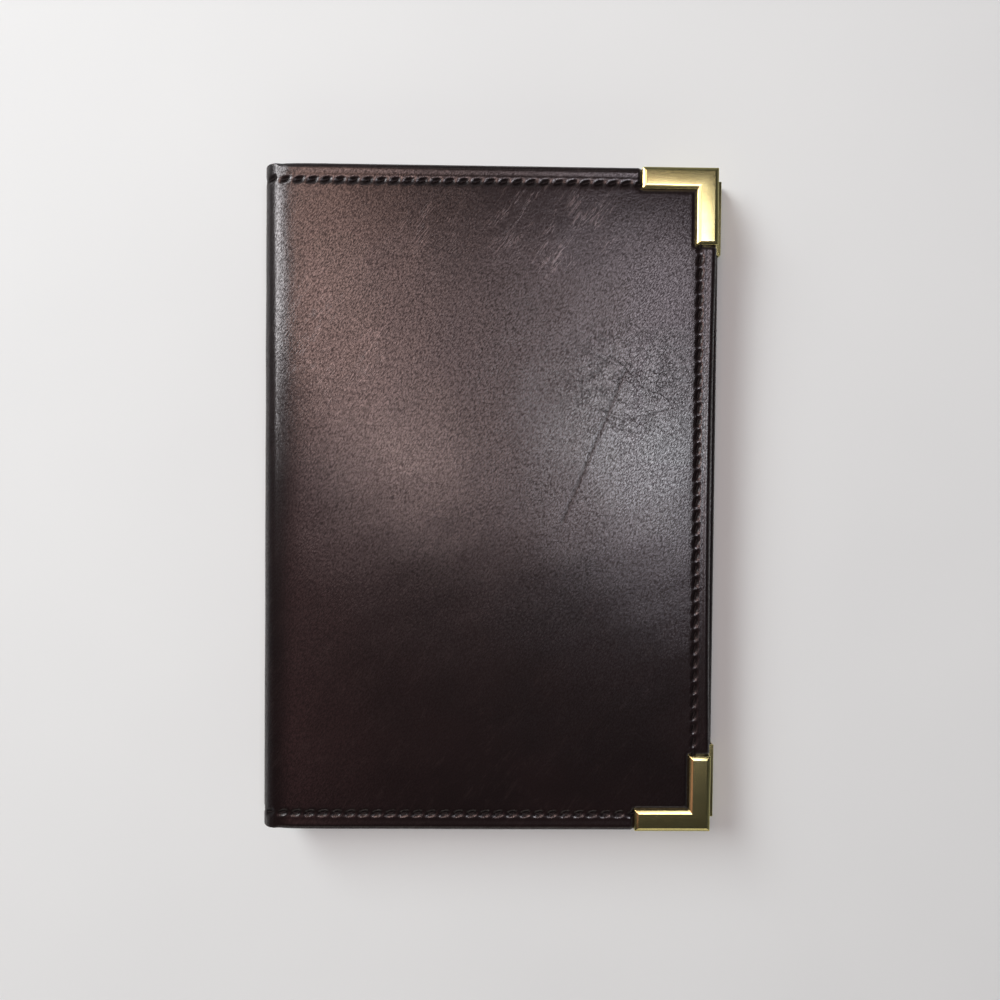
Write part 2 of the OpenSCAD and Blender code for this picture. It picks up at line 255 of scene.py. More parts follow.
softbox("left_window", leaning((-47, 38)), (0.55, 1.15), (1.0, 0.96, 0.98), 9.94)
softbox("ceiling", mirrored((480, 394)), (0.95, 0.68), (1.0, 0.75, 0.755), 1.8)
softbox("ceiling_spot", mirrored((402, 455)), (0.11, 0.11), (1.0, 0.71, 0.65), 18.2)
softbox("right_window", mirrored((668, 410)), (0.3, 0.76), (0.96, 0.89, 1.0), 3.78)
softbox("right_lamp", mirrored((655, 444)), (0.24, 0.2), (0.83, 0.97, 1.0), 7.04)
softbox("warm_lamp", mirrored((285, 245)), (0.38, 0.66), (1.0, 0.6, 0.49), 3.61)
softbox("low_glow", mirrored((252, 635)), (0.34, 0.9), (1.0, 0.46, 0.46), 0.405)
softbox("table_glow", leaning((10, -62)), (2.2, 0.4), (1.0, 0.9, 0.8), 0.704)
softbox("top_window", leaning((-5, 45)), (0.9, 0.35), (1.0, 0.95, 0.93), 0.484)


# Boards and foam
# A grey millboard stiffens each cover, and a thin sheet of foam over it pads the panel.
# Both are cut flat and glued, and the leather and the lining hide them.
board_pale = (0.46, 0.42, 0.37, 1)
board_fibre = (0.3, 0.27, 0.24, 1)
foam_pale = (0.78, 0.73, 0.63, 1)
foam_cell = (0.6, 0.55, 0.46, 1)
fibre_draw = (0.3, 1.6, 1)
fibre_turn_deg = 25
fibre_high = 0.04
fleck_deep = 0.03


def fibrous(name, pale, dark, fibre_scale, fleck_scale):
    """Pressed stock: short fibres that lie all ways, with darker flecks."""
    material, shade = new_material(name)
    where = in_mm(shade)
    fibre = shade.noise(shade.placed(where, fibre_draw, fibre_turn_deg), fibre_scale, 3.0, 0.6)
    fleck = shade.noise(where, fleck_scale, 2.0).rise(0.6, 0.72)
    surface(
        shade,
        Base_Color=(fibre.rise(0.3, 0.7) * 0.5 + fleck * 0.5).mix(pale, dark),
        Roughness=0.85 + fibre * 0.1,
        Normal=bump(shade, fibre * fibre_high - fleck * fleck_deep),
    )
    return material


def dress(node, material):
    """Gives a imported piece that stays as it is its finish."""
    finishes = bpy.data.objects[node].data.materials
    finishes.clear()
    finishes.append(material)


millboard = fibrous("millboard", board_pale, board_fibre, 1.4, 0.7)
foam_sheet = fibrous("foam_sheet", foam_pale, foam_cell, 2.5, 2.0)
for side in ("back", "front"):
    dress(f"{side}_board", millboard)
    dress(f"{side}_foam", foam_sheet)


# Outer leather
# One piece of dark brown bonded leather covers the back, the spine and the front. It is laid over
# thin foam, sewn round three edges and turned in over the boards. It is shown as two halves that
# meet half-way up the spine.
back_low, back_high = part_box("back_leather")
front_low, front_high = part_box("front_leather")
spine_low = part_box("spine_leather")[0]
thread_low, thread_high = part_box("back_stitches")
spine_lining_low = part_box("spine_lining")[0]
corner_low, corner_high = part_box("corner_front_top")
fold_x = {"back": back_low.x, "front": front_low.x}
cover_w = back_high.x - back_low.x
half_h = back_high.y
total_t = front_high.z
border_h = spine_low.z
turn_h = back_high.z
edge_r = (turn_h - border_h) / 2
fold_r = front_low.x - spine_low.x
setback = back_low.x - front_low.x
fold_rise = total_t - 2 * (border_h + fold_r)
slant = math.atan2(setback, fold_rise)
slant_len = math.hypot(setback, fold_rise)
fold_sweep = {"back": math.pi / 2 - slant, "front": math.pi / 2 + slant}
half_spine = {side: fold_r * sweep + slant_len / 2 for side, sweep in fold_sweep.items()}
spine_lining_t = 0.6 * mm
spine_t = spine_lining_low.z - border_h + spine_lining_t
thread_d = thread_high.z - thread_low.z
seam_x = thread_high.x - thread_d / 2 - back_low.x
seam_y = thread_high.y - thread_d / 2
corner_arm = corner_high.x - corner_low.x
corner_t = corner_high.y - half_h
corner_w = 7.6 * mm

leather_t = 0.6 * mm
leather_cell = 1.5 * mm
turn_shown = 4 * mm
spine_edge_r = 0.7 * mm
spine_edge_ends = (-1.5 * mm, 1.0 * mm)
stitch_pitch = 4.7 * mm
dimple_len = 1.6 * mm
dimple_wide = 0.9 * mm
dimple_deep = 0.5 * mm
dimple_power = 2.6
dimple_slant = 0.22
trough_deep = 0.03 * mm
trough_wide = 0.9 * mm
border_share = 0.97
rim_high, rim_at, rim_wide = 0.06 * mm, 1.5 * mm, 0.6 * mm
bead_high, bead_at, bead_wide = 0.14 * mm, 3.9 * mm, 1.1 * mm
brass_skirt = 1.6 * mm
panel_rise = 0.8 * mm
seam_half = 0.6 * mm
panel_edge = 5 * mm
spine_rise = 3.8 * mm
fold_lead = 2 * mm
fold_soft = 1.2 * mm
panel_crown = 0.3 * mm
wave_high = 0.06 * mm
wave_lengths_mm = (61, 47, 38, 29, 23, 17, 14)
wave_turn = 2.4
wave_phase = 1.7
wave_share_mm = 120
border_wave = 0.3
edge_bow = 1.0 * mm
spine_bulge = 0.15 * mm
bulge_len = 4 * mm
flare_len = 8 * mm
fine_reach = panel_edge + 3 * mm
finest_reach = 2.4 * dimple_wide
fold_fine = 2 * mm
roll_fine = 1 * mm
flat_x = cover_w - edge_r
flat_y = half_h - edge_r


def ease(x):
    x = np.clip(x, 0, 1)
    return x * x * (3 - 2 * x)


def section(side, u, radius):
    """Where the leather runs across a cover: u is measured along it from the fold line.
    Gives a from the fold line, h in from the padded face, and the outward normal."""
    spine = np.clip(-u, 0, None)
    turn = np.minimum(spine / radius, fold_sweep[side])
    up = spine - radius * turn
    edge = np.clip(u - flat_x, 0, None)
    roll = np.minimum(edge / edge_r, np.pi)
    back = edge - edge_r * roll
    a = np.clip(u, 0, flat_x) - radius * np.sin(turn) - up * np.cos(turn) + edge_r * np.sin(roll) - back
    h = radius * (1 - np.cos(turn)) + up * np.sin(turn) + edge_r * (1 - np.cos(roll))
    return a, border_h + h, np.sin(roll) - np.sin(turn), -np.cos(turn) * np.cos(roll)


def on_cover(side, a, y, h):
    """Cover coordinates as points of the model."""
    z = h if side == "back" else total_t - h
    return np.column_stack([fold_x[side] + a, y, z])


def even_steps(length):
    """How many stitches fit a seam, and their exact distance."""
    count = max(1, math.floor(length / stitch_pitch))
    return count, length / count


def from_stitch(along, step):
    """Distance to the nearest stitch's middle along a seam."""
    return (along / step % 1 - 0.5) * step


def dimple(along, across):
    """The oval hollow that one stitch pulls into the leather, 1 at its middle."""
    across = across - dimple_slant * along
    return np.exp(-np.abs(along / dimple_len) ** dimple_power - np.abs(across / dimple_wide) ** dimple_power)


def seams(side, u, v):
    """Each seam near a place: how far along from a stitch, how far across, and where it ends."""
    from_x = u - seam_x
    from_y = np.abs(v) - seam_y
    step_y = even_steps(2 * seam_y)[1]
    step_x = np.where(u > 0, even_steps(seam_x)[1], even_steps(half_spine[side])[1])
    return [
        (from_stitch(v + seam_y, step_y), from_x, ease((mm - from_y) / mm)),
        (from_stitch(u, step_x), from_y * np.sign(v), ease((mm - from_x) / mm)),
    ]


def hollows(side, u, v):
    """All the dimples, from 0 to 1."""
    return sum(dimple(along, across) * reach for along, across, reach in seams(side, u, v))


def slow_waves(u, v):
    """Gentle unevenness of the padding, about 1 high."""
    height = np.zeros_like(u)
    for k, length in enumerate(wave_lengths_mm):
        angle = wave_turn * k
        along = (u * math.cos(angle) + v * math.sin(angle)) / (length * mm)
        height += length / wave_share_mm * np.sin(2 * np.pi * along + wave_phase * k)
    return height


def from_brass(u, v):
    """Distance from the nearest brass corner, 0 under it."""
    in_x = cover_w + corner_t - u
    in_y = half_h + corner_t - np.abs(v)
    arms = [
        np.hypot(np.maximum(along - corner_arm, 0), np.maximum(across - corner_w, 0))
        for along, across in ((in_x, in_y), (in_y, in_x))
    ]
    return np.minimum(*arms)


def pillow(inwards, rise):
    """How far the padding has risen at a distance inside a line, from 0 to 1."""
    return 1 - np.exp(-np.clip(inwards, 0, None) / rise)


def edge_bead(past):
    """The turned edge outside a seam: a rim at the stitches, a shallow hollow and a bead."""
    rim = rim_high * np.exp(-((past - rim_at) / rim_wide) ** 2)
    return rim + bead_high * np.exp(-((past - bead_at) / bead_wide) ** 2)


def leather_lift(side, u, v):
    """How far the leather stands out from its plain section."""
    in_x = seam_x - u
    in_y = seam_y - np.abs(v)
    inside = pillow(in_x - seam_half, panel_rise) * pillow(in_y - seam_half, panel_rise)
    started = np.clip(u + fold_lead, 0, None)
    padded = pillow(started**2 / (started + fold_soft), spine_rise)
    lift = border_h * padded * (border_share + (1 - border_share) * inside)
    lift += (edge_bead(-in_x) + edge_bead(-in_y)) * ease(u / spine_rise)
    lift -= dimple_deep * hollows(side, u, v)
    for along, across, reach in seams(side, u, v):
        lift -= trough_deep * np.exp(-(across / trough_wide) ** 2) * reach
    lift += slow_waves(u, v) * wave_high * (border_wave + (1 - border_wave) * inside)
    if side == "front":
        crown_x = np.clip(1 - (2 * u / cover_w - 1) ** 2, 0, 1)
        lift += panel_crown * inside * crown_x * (1 - (v / half_h) ** 2)
    else:
        lift = np.minimum(lift, border_h)
    for rolled in (u - flat_x, np.abs(v) - flat_y):
        lift *= np.cos(np.clip(rolled / edge_r, 0, math.pi / 2))
    return np.where(lift > 0, lift * ease(from_brass(u, v) / brass_skirt), lift)


def leather_points(side, u, v):
    """The outside of one half of the leather, from its flat pattern."""
    across = np.abs(v)
    start, end = spine_edge_ends
    on_spine = 1 - ease((u - start) / (end - start))
    end_r = edge_r + (spine_edge_r - edge_r) * on_spine
    edge = np.clip(across - flat_y, 0, None)
    roll = np.minimum(edge / edge_r, np.pi)
    back = edge - edge_r * roll
    widen = (edge_r - end_r) * ease((across - flat_y + flare_len) / flare_len)
    bulge = np.exp(-((u + bulge_len) / bulge_len) ** 2) * ease((across - seam_y) / bulge_len)
    widen += spine_bulge * on_spine * bulge
    y = np.minimum(across, flat_y) + widen + end_r * np.sin(roll) - back
    deep = end_r * (1 - np.cos(roll))
    a, h, out_a, out_h = section(side, u, fold_r)
    lift = leather_lift(side, u, v)
    a = a - out_a * deep + lift * out_a * np.cos(roll)
    h = h - out_h * deep + lift * out_h * np.cos(roll)
    y = y + lift * np.sin(roll)
    if side == "front":
        bow = np.clip(1 - (v / (half_h - corner_arm)) ** 2, 0, None)
        a = a - edge_bow * bow * ease((u - seam_x) / (cover_w - seam_x))
    return on_cover(side, a, y * np.sign(v), h)


def flat_grid(name, low, high, cell):
    """A flat grid of square cells between two corners."""
    bpy.ops.object.select_all(action="DESELECT")
    columns = round((high[0] - low[0]) / cell)
    rows = round((high[1] - low[1]) / cell)
    bpy.ops.mesh.primitive_grid_add(x_subdivisions=columns, y_subdivisions=rows, size=1)
    piece = bpy.context.object
    piece.name = name
    size = Vector((high[0] - low[0], high[1] - low[1], 1))
    middle = Vector(((high[0] + low[0]) / 2, (high[1] + low[1]) / 2, 0))
    piece.data.transform(Matrix.Translation(middle) @ Matrix.Diagonal(size).to_4x4())
    return piece


def points_of(piece):
    flat = np.empty(3 * len(piece.data.vertices))
    piece.data.vertices.foreach_get("co", flat)
    return flat.reshape(-1, 3)


def set_points(piece, points):
    piece.data.vertices.foreach_set("co", np.ravel(points))
    piece.data.update()


def faces_at(piece):
    """The middle of each face, as columns."""
    flat = np.empty(3 * len(piece.data.polygons))
    piece.data.polygons.foreach_get("center", flat)
    return flat.reshape(-1, 3).T


def edit_faces(piece, chosen):
    """Goes into edit mode with only the chosen faces selected."""
    mesh = piece.data
    mesh.vertices.foreach_set("select", np.zeros(len(mesh.vertices), bool))
    mesh.edges.foreach_set("select", np.zeros(len(mesh.edges), bool))
    mesh.polygons.foreach_set("select", chosen)
    bpy.ops.object.mode_set(mode="EDIT")
    bpy.ops.mesh.select_mode(type="FACE")


def refine(piece, chosen):
    """Splits the chosen faces in four."""
    edit_faces(piece, chosen)
    bpy.ops.mesh.subdivide(number_cuts=1)
    bpy.ops.object.mode_set(mode="OBJECT")


def flat_uv(piece, u, v):
    """Keeps the flat pattern as the piece's UV map, in metres."""
    corners = np.empty(len(piece.data.loops), int)
    piece.data.loops.foreach_get("vertex_index", corners)
    pattern = np.column_stack([u, v])[corners]
    piece.data.uv_layers.active.data.foreach_set("uv", np.ravel(pattern))


def thicken(piece, thickness):
    """Gives a sheet its wall, inwards from the face that shows."""
    bpy.context.view_layer.objects.active = piece
    bpy.ops.object.modifier_add(type="SOLIDIFY")
    piece.modifiers["Solidify"].thickness = thickness
    piece.modifiers["Solidify"].offset = -1
    bpy.ops.object.modifier_apply(modifier="Solidify")


def bend_with_spine(piece, side):
    """Bakes one half's place into its mesh."""
    a, h, out_a, out_h = section(side, np.array([-half_spine[side]]), fold_r)
    meet = Vector(on_cover(side, a - out_a * spine_t, 0, h - out_h * spine_t)[0])
    if side == "back":
        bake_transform(piece)
        return
    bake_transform(piece)


def leather_half(side):
    """One half of the leather, cut to its flat pattern, made finer at seams and edges, and formed."""
    low = (-half_spine[side], -flat_y - math.pi * edge_r - turn_shown)
    high = (flat_x + math.pi * edge_r + turn_shown, -low[1])
    piece = flat_grid(f"{side}_cover_leather", low, high, leather_cell)
    x, y, _ = faces_at(piece)
    edit_faces(piece, (x > flat_x) & (np.abs(y) > flat_y))
    bpy.ops.mesh.delete(type="FACE")
    bpy.ops.object.mode_set(mode="OBJECT")
    x, y, _ = faces_at(piece)
    refine(piece, (x < fold_fine) | (x > seam_x - fine_reach) | (np.abs(y) > seam_y - fine_reach))
    x, y, _ = faces_at(piece)
    from_x = np.abs(x - seam_x)
    from_y = np.abs(np.abs(y) - seam_y)
    rolled = (x > flat_x - roll_fine) | (np.abs(y) > flat_y - roll_fine)
    refine(piece, (from_x < finest_reach) | (from_y < finest_reach) | rolled)
    u, v, _ = points_of(piece).T
    from_spine = u + half_spine[side]
    flat_uv(piece, from_spine if side == "front" else -from_spine, v)
    # The stitch dimples are kept as an attribute, used for painted shade in the leather's colour.
    hollow = piece.data.attributes.new("hollow", "FLOAT", "POINT")
    hollow.data.foreach_set("value", hollows(side, u, v) * (from_brass(u, v) > 0))
    set_points(piece, leather_points(side, u, v))
    if side == "back":
        piece.data.flip_normals()
    bpy.ops.object.shade_smooth()
    thicken(piece, leather_t)
    return piece


def seen_on_leather(pixel):
    """Where a pixel of the picture lies on the front leather's flat pattern, in millimetres."""
    spot = seen_on_cover(pixel)[0]
    return (spot.x - fold_x["front"] + half_spine["front"]) / mm, spot.y / mm


crease_from_px = (626, 370)
crease_to_px = (562, 522)
crackle_px = (628, 382)
crackle_mm = (34, 30)
spot_fade = (0.35, 1.1)
wrinkles_px = ((555, 225), (340, 335), (430, 225))
wrinkles_mm = ((32, 22), (26, 36), (14, 14))
leather_dark = (0.0057, 0.0027, 0.0027, 1)
leather_mid = (0.008, 0.0038, 0.0038, 1)
# Wrinkle colour: partly wear, partly a painted highlight on the wrinkle ridges.
wrinkle_wear_and_highlight = (0.148, 0.109, 0.102, 1)
# Dark colour of the cracks and the crease, also used as painted shade in the stitch dimples.
leather_crack_and_shade = (0.0034, 0.0018, 0.0018, 1)
leather_dull = (0.5, 0.125)
leather_satin = (0.28, 0.943)
leather_gloss = (0.17, 0.943)
gloss_share = 0.72
grain_turn_deg = 58
streak_mm = (1.3, 0.48)
pebble_mm = (1.2, 0.64)
wrinkle_turn_deg = 54
wrinkle_mm = (11.0, 0.95)
wrinkle_wide = 0.045
wrinkle_band_deg = 52
wrinkle_band_mm = (17.0, 3.2)
fine_crack = (40, 2.0, 1.4)
net_crack = (15, 4.6, 3.2)
long_crack = (4, 24.0, 9.0)
crease_wide_mm = (0.1, 1.2)
grain_high, wrinkle_high, crack_deep, crease_deep = 0.014, 0.01, 0.016, 0.03


def along_line(shade, where, start, end):
    """Distance of a place from a line in the flat pattern, in millimetres."""
    way = Vector(end) - Vector(start)
    turn_deg = math.degrees(math.atan2(way.y, way.x))
    level = shade.placed(shade.node(
        "ShaderNodeVectorMath", {"operation": "SUBTRACT"}, {0: where, 1: (*start, 0)}
    ), turn_deg=-turn_deg)
    x = axis_of(shade, level, "X")
    y = axis_of(shade, level, "Y")
    past_end = shade.maths("MAXIMUM", x - way.length, 0.0)
    before = shade.maths("MAXIMUM", 0.0 - x, 0.0)
    return shade.maths("ABSOLUTE", y) + past_end + before


def near_spot(shade, where, pixel, size):
    """1 at a place on the front leather, falling to 0 over an oval of a size in millimetres."""
    x, y = seen_on_leather(pixel)
    shift = (-x / size[0], -y / size[1], 0)
    placed = shade.placed(where, (1 / size[0], 1 / size[1], 0), shift=shift)
    distance = shade.node("ShaderNodeVectorMath", {"operation": "LENGTH"}, {0: placed}, "Value")
    return 1 - distance.rise(*spot_fade)


def swayed(shade, where, scale, reach):
    """Coordinates pushed about by a noise, as far as reach millimetres each way."""
    sizes = {"Vector": where, "Scale": scale, "Detail": 2.0}
    push = shade.node("ShaderNodeTexNoise", (), sizes, "Color")
    push = shade.node("ShaderNodeVectorMath", {"operation": "SUBTRACT"}, {0: push, 1: (0.5, 0.5, 0.5)})
    push = shade.node("ShaderNodeVectorMath", {"operation": "SCALE"}, {0: push, "Scale": 4 * reach})
    return shade.node("ShaderNodeVectorMath", {"operation": "ADD"}, {0: where, 1: push})


def edges_between(shade, where, width):
    """Thin lines between the cells of a cracked pattern, 1 in a line."""
    cells = {"Vector": where, "Scale": 1.0}
    from_edge = shade.node("ShaderNodeTexVoronoi", {"feature": "DISTANCE_TO_EDGE"}, cells)
    return 1 - from_edge.rise(0.0, width)


def leather_finish():
    """Fine streaked grain, wrinkles painted lighter as wear and as a painted highlight, a crackled place and
    one long crease.
    The ridges of the grain carry the polish, and its valleys are dull. The stitch dimples get painted shade."""
    material, shade = new_material("bonded_leather")
    where = in_mm(shade, "UV")
    uneven = swayed(shade, where, 0.5, 0.15)
    curved = swayed(shade, where, 0.03, 3.0)
    cloud = shade.noise(where, 0.03, 3.0, 0.55)
    streaks = shade.noise(shade.drawn(uneven, grain_turn_deg, *streak_mm), 1.0, 2.0, 0.6).rise(0.4, 0.6)
    pebbles = 1 - edges_between(shade, shade.drawn(uneven, grain_turn_deg, *pebble_mm), 0.3)
    grain = streaks * 0.5 + pebbles * 0.5
    spots = [near_spot(shade, where, *spot) for spot in zip(wrinkles_px, wrinkles_mm)]
    wrinkled = shade.maths("MINIMUM", sum(spots[1:], spots[0]), 1.0)
    level = shade.noise(shade.drawn(uneven, wrinkle_turn_deg, *wrinkle_mm), 1.0, 1.0)
    ridge = 1 - shade.maths("ABSOLUTE", level - 0.5).rise(0.0, wrinkle_wide)
    band = shade.noise(shade.drawn(curved, wrinkle_band_deg, *wrinkle_band_mm), 1.0, 1.0)
    ridge = ridge * band.rise(0.45, 0.61)
    wrinkles = ridge * (wrinkled * 0.9 + 0.1) * shade.noise(where, 0.06, 2.0).rise(0.28, 0.48)
    crackled = near_spot(shade, where, crackle_px, crackle_mm)
    bent = swayed(shade, where, 0.3, 0.5)
    fine_cells = edges_between(shade, shade.drawn(uneven, *fine_crack), 0.14)
    cells = edges_between(shade, shade.drawn(bent, *net_crack), 0.075)
    folds = edges_between(shade, shade.drawn(bent, *long_crack), 0.028)
    broken = shade.noise(where, 0.2).rise(0.38, 0.58)
    cracks = shade.maths("MAXIMUM", cells * 0.7 * broken, folds * 0.9)
    cracks = shade.maths("MAXIMUM", cracks, fine_cells * 0.5 * broken) * crackled
    crease_ends = seen_on_leather(crease_from_px), seen_on_leather(crease_to_px)
    crease = 1 - along_line(shade, swayed(shade, where, 0.04, 0.4), *crease_ends).rise(*crease_wide_mm)
    crease = crease * shade.noise(where, 0.2).rise(0.2, 0.5)
    # Depth of the stitch dimples, used below as painted shade: darker colour and less sheen in them.
    dimples = shade.node("ShaderNodeAttribute", {"attribute_name": "hollow"}, (), "Fac")
    painted_hollow_shade = dimples.rise(0.03, 0.6)
    height = grain * grain_high + wrinkles * wrinkle_high - cracks * crack_deep - crease * crease_deep
    dark = shade.maths("MAXIMUM", cracks * 0.85, crease * 0.5)
    colour = cloud.rise(0.35, 0.68).mix(leather_dark, leather_mid)
    # The wrinkles are painted lighter: part wear, part painted highlight.
    colour = (wrinkles * 0.42).mix(colour, wrinkle_wear_and_highlight)
    # Cracks and the crease have their own dark colour; the stitch dimples get it as painted shade.
    colour = shade.maths("MAXIMUM", dark, painted_hollow_shade * 0.9).mix(colour, leather_crack_and_shade)
    sheens = [
        shade.node("ShaderNodeBsdfPrincipled", (), {
            "Base Color": colour,
            "Roughness": roughness,
            "Specular IOR Level": specular,
            "Normal": bump(shade, height),
        })
        for roughness, specular in (leather_dull, leather_satin, leather_gloss)
    ]
    # Cracks, and the painted shade in the stitch dimples, take away the polish.
    polish = (0.12 + grain * 1.05 + wrinkles * 0.4) * (1 - dark) * (1 - painted_hollow_shade * 0.9)
    shader = shade.node("ShaderNodeMixShader", (), {0: gloss_share, 1: sheens[1], 2: sheens[2]})
    shader = shade.node("ShaderNodeMixShader", (), {0: polish, 1: sheens[0], 2: shader})
    shade.node("ShaderNodeOutputMaterial", (), {"Surface": shader})
    return material


leather_material = leather_finish()
leather = {}
for side in ("back", "front"):
    leather[side] = leather_half(side)
    leather[side].data.materials.append(leather_material)
    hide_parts(f"{side}_leather", "spine_leather")
    bend_with_spine(leather[side], side)


# Linings
# Thin embossed sheet, near black, is glued inside each cover over the turned-in leather, and runs
# on into the spine. The border's stitches go through it. It too is shown as two halves.
lining_t = 0.5 * mm
lining_cell = 2 * mm
lining_low, lining_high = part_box("back_lining")
cover_t = lining_high.z
lining_reach = lining_high.x - fold_x["back"]
inner_r = fold_r - spine_t
board_step = (-1.2 * mm, 0.8 * mm)
lining_edge = 0.7 * mm
lining_edge_drop = 0.2 * mm
lining_trough = (0.12 * mm, 0.5 * mm)
lining_fine = ((4 * mm, 2 * mm), (2 * mm, 1 * mm))
lining_black = (0.012, 0.0095, 0.009, 1)
lining_brown = (0.026, 0.0205, 0.019, 1)
emboss_draw = (0.5, 2.2, 1)
emboss_turn_deg = 45
emboss_scale = 1.1
emboss_high = 0.12


def lining_points(side, u, v):
    """The face of the lining that shows: low along the spine, and up over the board's edge."""
    a, h, out_a, out_h = section(side, u, inner_r)
    h = h + fold_r - inner_r
    step = ease((u - board_step[0]) / (board_step[1] - board_step[0]))
    h = h + (cover_t - border_h - spine_t) * step
    for rim, seam in ((lining_reach - u, seam_x - u), (lining_high.y - np.abs(v), seam_y - np.abs(v))):
        h = h - lining_edge_drop * (1 - ease(rim / lining_edge)) * step
        h = h - lining_trough[0] * np.exp(-(seam / lining_trough[1]) ** 2) * step
    return on_cover(side, a, v, h)


def lining_finish():
    """Fine embossed grain of short crossing lines, matt."""
    material, shade = new_material("embossed_lining")
    where = in_mm(shade, "UV")
    across = shade.noise(shade.placed(where, emboss_draw, emboss_turn_deg), emboss_scale, 2.0)
    along = shade.noise(shade.placed(where, emboss_draw, -emboss_turn_deg), emboss_scale, 2.0)
    cloud = shade.noise(where, 0.05, 3.0)
    grain = shade.maths("MAXIMUM", across, along)
    surface(
        shade,
        Base_Color=(grain.rise(0.45, 0.75) * 0.5 + cloud * 0.5).mix(lining_black, lining_brown),
        Roughness=0.55 + grain * 0.15,
        Normal=bump(shade, grain * emboss_high),
    )
    return material


embossed_lining = lining_finish()
for side in ("back", "front"):
    lining_spine = inner_r * fold_sweep[side] + slant_len / 2
    low = (-lining_spine, lining_low.y)
    high = (lining_reach, lining_high.y)
    piece = flat_grid(f"{side}_cover_lining", low, high, lining_cell)
    for from_fold, from_seam in lining_fine:
        x, y, _ = faces_at(piece)
        refine(piece, (x < from_fold) | (x > seam_x - from_seam) | (np.abs(y) > seam_y - from_seam))
    u, v, _ = points_of(piece).T
    flat_uv(piece, u + lining_spine if side == "front" else -u - lining_spine, v)
    set_points(piece, lining_points(side, u, v))
    if side == "front":
        piece.data.flip_normals()
    bpy.ops.object.shade_smooth()
    thicken(piece, lining_t)
    piece.data.materials.append(embossed_lining)
    flat = (high[0] - low[0], high[1] - low[1])
    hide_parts(f"{side}_lining", "spine_lining")
    bend_with_spine(piece, side)


# Border stitches
# Waxed dark brown thread is machine sewn through leather, board and lining along three edges and
# round both ends of the spine. Each stitch lies in a dimple that it has pulled into the leather.
stitch_len = 3.1 * mm
stitch_proud = 0.1 * mm
stitch_arch = 0.35 * mm
stitch_sink = 0.1 * mm
stitch_blunt = 5
stitch_facets = 8
ply_turns = 2.0
ply_twists = 5.0
ply_high, fibre_proud = 0.06, 0.03
thread_fibre = 9.0
thread_dark = (0.0057, 0.0034, 0.0034, 1)
thread_light = (0.0136, 0.008, 0.0077, 1)


def thread_finish(name, dark, light):
    """Two twisted plies, which run round each stitch."""
    material, shade = new_material(name)
    around = shade.node("ShaderNodeTexCoord", (), (), "UV")
    x = axis_of(shade, around, "X")
    y = axis_of(shade, around, "Y")
    turn = (x * ply_turns + y * ply_twists) * (2 * math.pi)
    ply = turn.maths("SINE", turn) * 0.5 + 0.5
    fibre = shade.noise(in_mm(shade), thread_fibre)
    height = ply * ply_high + fibre * fibre_proud
    surface(
        shade,
        Base_Color=(ply * 0.6 + fibre * 0.4).mix(dark, light),
        Roughness=0.65 + fibre * 0.2,
        Specular_IOR_Level=0.2,
        Normal=bump(shade, height),
    )
    return material


def one_stitch(length, thick):
    """A short run of thread along X whose ends dive into the leather."""
    bpy.ops.object.select_all(action="DESELECT")
    bpy.ops.mesh.primitive_uv_sphere_add(
        segments=stitch_facets, ring_count=stitch_facets, radius=1, rotation=(0, math.pi / 2, 0)
    )
    bpy.ops.object.transform_apply()
    stitch = bpy.context.object
    x, y, z = points_of(stitch).T
    full = np.sqrt(1 - np.abs(x) ** stitch_blunt) / np.maximum(np.sqrt(1 - x**2), 0.01)
    arch = stitch_arch * (thick / thread_d) * x**4
    set_points(stitch, np.column_stack([
        x * length / 2, y * full * thick / 2, z * full * thick / 2 - arch
    ]))
    bpy.ops.object.shade_smooth()
    return stitch


def sew(name, stitch, places):
    """One copy of a stitch at each place, joined into one piece."""
    bpy.ops.object.select_all(action="DESELECT")
    for place in places:
        copy = bpy.data.objects.new(name, stitch.data.copy())
        copy.data.transform(place)
        bpy.context.scene.collection.objects.link(copy)
        copy.select_set(True)
        bpy.context.view_layer.objects.active = copy
    bpy.ops.object.join()
    seam = bpy.context.object
    seam.name = name
    bpy.data.objects.remove(stitch)
    return seam


def stitch_place(spot, run, out):
    """Where a stitch lies: its length follows run, and its back shows along out."""
    run = run.normalized()
    turned = Matrix((run, out.cross(run), out)).transposed().to_4x4()
    return Matrix.Translation(spot) @ turned


def leather_stitch(side, u, v, down_edge):
    out_a, out_h = (float(x[0]) for x in section(side, np.array([u]), fold_r)[2:])
    flip = 1 if side == "back" else -1
    out = Vector((out_a, 0, flip * out_h))
    across = Vector((-out_h, 0, flip * out_a))
    upright = Vector((0, 1, 0))
    run = upright + dimple_slant * across if down_edge else across + dimple_slant * upright
    spot = Vector(leather_points(side, np.array([u]), np.array([v]))[0])
    return stitch_place(spot + out * stitch_proud, run, out)


def lining_stitch(side, u, v, down_edge):
    """The same stitch where its lower thread shows inside the cover."""
    out = Vector((0, 0, 1 if side == "back" else -1))
    run = Vector((0, 1, 0) if down_edge else (1, 0, 0))
    spot = Vector(on_cover(side, u, v, cover_t)[0])
    return stitch_place(spot - out * stitch_sink, run, out)


def seam_spots(side):
    """Every stitch of one half: u, v and whether it is on the free edge."""
    count, step = even_steps(seam_x)
    spine_count, spine_step = even_steps(half_spine[side])
    along = [(i + 0.5) * step for i in range(count)]
    along += [-(i + 0.5) * spine_step for i in range(spine_count)]
    spots = [(u, end * seam_y, False) for u in along for end in (-1, 1)]
    count, step = even_steps(2 * seam_y)
    spots += [(seam_x, (i + 0.5) * step - seam_y, True) for i in range(count)]
    return [spot for spot in spots if from_brass(*spot[:2]) > 0]


